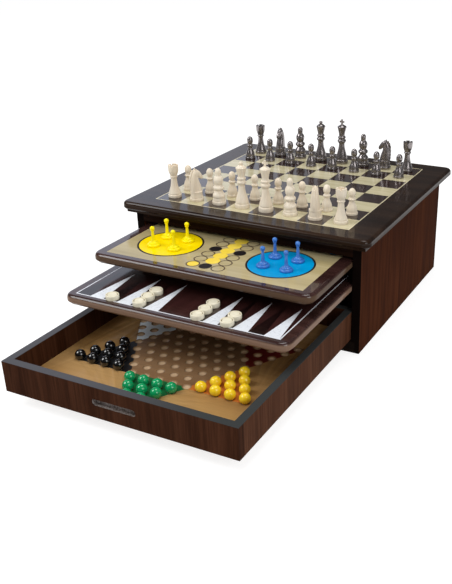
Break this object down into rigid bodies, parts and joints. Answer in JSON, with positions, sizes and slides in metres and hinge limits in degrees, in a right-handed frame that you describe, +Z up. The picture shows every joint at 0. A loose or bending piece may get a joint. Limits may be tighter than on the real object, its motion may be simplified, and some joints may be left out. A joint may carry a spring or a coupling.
{
  "type": "games compendium box",
  "caption": "Wooden games box with a chessboard top, two slide-out game boards and a marble drawer, shown open with the pieces set up.",
  "frame": {"origin": "centre of the cabinet's underside, on the floor", "axes": "+X to the right along the front, +Y into the cabinet from the front, +Z up"},
  "size_m": [0.294, 0.499, 0.186],
  "materials": {
    "cabinet_wood": "satin",
    "top_lacquer": "satin",
    "dark_veneer": "satin",
    "light_veneer": "satin",
    "cream_line": "satin",
    "batten_wood": "matte",
    "board_lacquer": "satin",
    "maple_field": "satin",
    "silver_print": "satin",
    "dark_field": "satin",
    "brown_print": "satin",
    "golden_floor": "satin",
    "cream_men": "satin",
    "gunmetal_men": "satin",
    "yellow_plastic": "satin",
    "blue_plastic": "satin",
    "ivory_plastic": "satin",
    "green_glass": "polished",
    "yellow_glass": "polished",
    "black_glass": "polished"
  },
  "bodies": {
    "cabinet": {"left_side": "cabinet_wood", "right_side": "cabinet_wood", "back_panel": "cabinet_wood", "bottom_panel": "cabinet_wood", "top_rail": "cabinet_wood", "top_board": "top_lacquer", "dark_squares": "dark_veneer", "light_squares": "light_veneer", "chess_line": "cream_line", "drawer_glides": "batten_wood", "lower_runners": "batten_wood", "middle_runners": "batten_wood", "upper_runners": "batten_wood"},
    "ludo_tray": {"ludo_board": "board_lacquer", "ludo_field": "maple_field"},
    "backgammon_tray": {"backgammon_board": "board_lacquer", "backgammon_line": "silver_print", "backgammon_field": "dark_field", "dark_points": "brown_print", "light_points": "silver_print"},
    "drawer": {"drawer_front": "cabinet_wood", "drawer_back": "cabinet_wood", "drawer_left": "cabinet_wood", "drawer_right": "cabinet_wood", "drawer_floor": "golden_floor"},
    "white_chessmen": {"white_pawns": "cream_men", "white_rooks": "cream_men", "white_knights": "cream_men", "white_bishops": "cream_men", "white_queen": "cream_men", "white_king": "cream_men"},
    "black_chessmen": {"black_pawns": "gunmetal_men", "black_rooks": "gunmetal_men", "black_knights": "gunmetal_men", "black_bishops": "gunmetal_men", "black_queen": "gunmetal_men", "black_king": "gunmetal_men"},
    "yellow_ludo_men": {"yellow_pawns": "yellow_plastic"},
    "blue_ludo_men": {"blue_pawns": "blue_plastic"},
    "checkers": {"ivory_checkers": "ivory_plastic"},
    "green_balls": {"green_marbles": "green_glass"},
    "yellow_balls": {"yellow_marbles": "yellow_glass"},
    "black_balls": {"black_marbles": "black_glass"}
  },
  "joints": [
    {"name": "ludo_board_slide", "type": "slide", "parent": "cabinet", "child": "ludo_tray", "axis": [0, -1, 0], "range_m": [-0.004, 0.11]},
    {"name": "backgammon_board_slide", "type": "slide", "parent": "cabinet", "child": "backgammon_tray", "axis": [0, -1, 0], "range_m": [-0.143, 0.06]},
    {"name": "drawer_slide", "type": "slide", "parent": "cabinet", "child": "drawer", "axis": [0, -1, 0], "range_m": [-0.231, 0]},
    {"name": "white_chessmen_lift", "type": "slide", "parent": "cabinet", "child": "white_chessmen", "axis": [0, 0, 1], "range_m": [0, 0.08]},
    {"name": "black_chessmen_lift", "type": "slide", "parent": "cabinet", "child": "black_chessmen", "axis": [0, 0, 1], "range_m": [0, 0.08]},
    {"name": "yellow_ludo_men_lift", "type": "slide", "parent": "ludo_tray", "child": "yellow_ludo_men", "axis": [0, 0, 1], "range_m": [0, 0.05]},
    {"name": "blue_ludo_men_lift", "type": "slide", "parent": "ludo_tray", "child": "blue_ludo_men", "axis": [0, 0, 1], "range_m": [0, 0.05]},
    {"name": "checkers_lift", "type": "slide", "parent": "backgammon_tray", "child": "checkers", "axis": [0, 0, 1], "range_m": [0, 0.009]},
    {"name": "green_balls_lift", "type": "slide", "parent": "drawer", "child": "green_balls", "axis": [0, 0, 1], "range_m": [0, 0.03]},
    {"name": "yellow_balls_lift", "type": "slide", "parent": "drawer", "child": "yellow_balls", "axis": [0, 0, 1], "range_m": [0, 0.03]},
    {"name": "black_balls_lift", "type": "slide", "parent": "drawer", "child": "black_balls", "axis": [0, 0, 1], "range_m": [0, 0.03]}
  ]
}
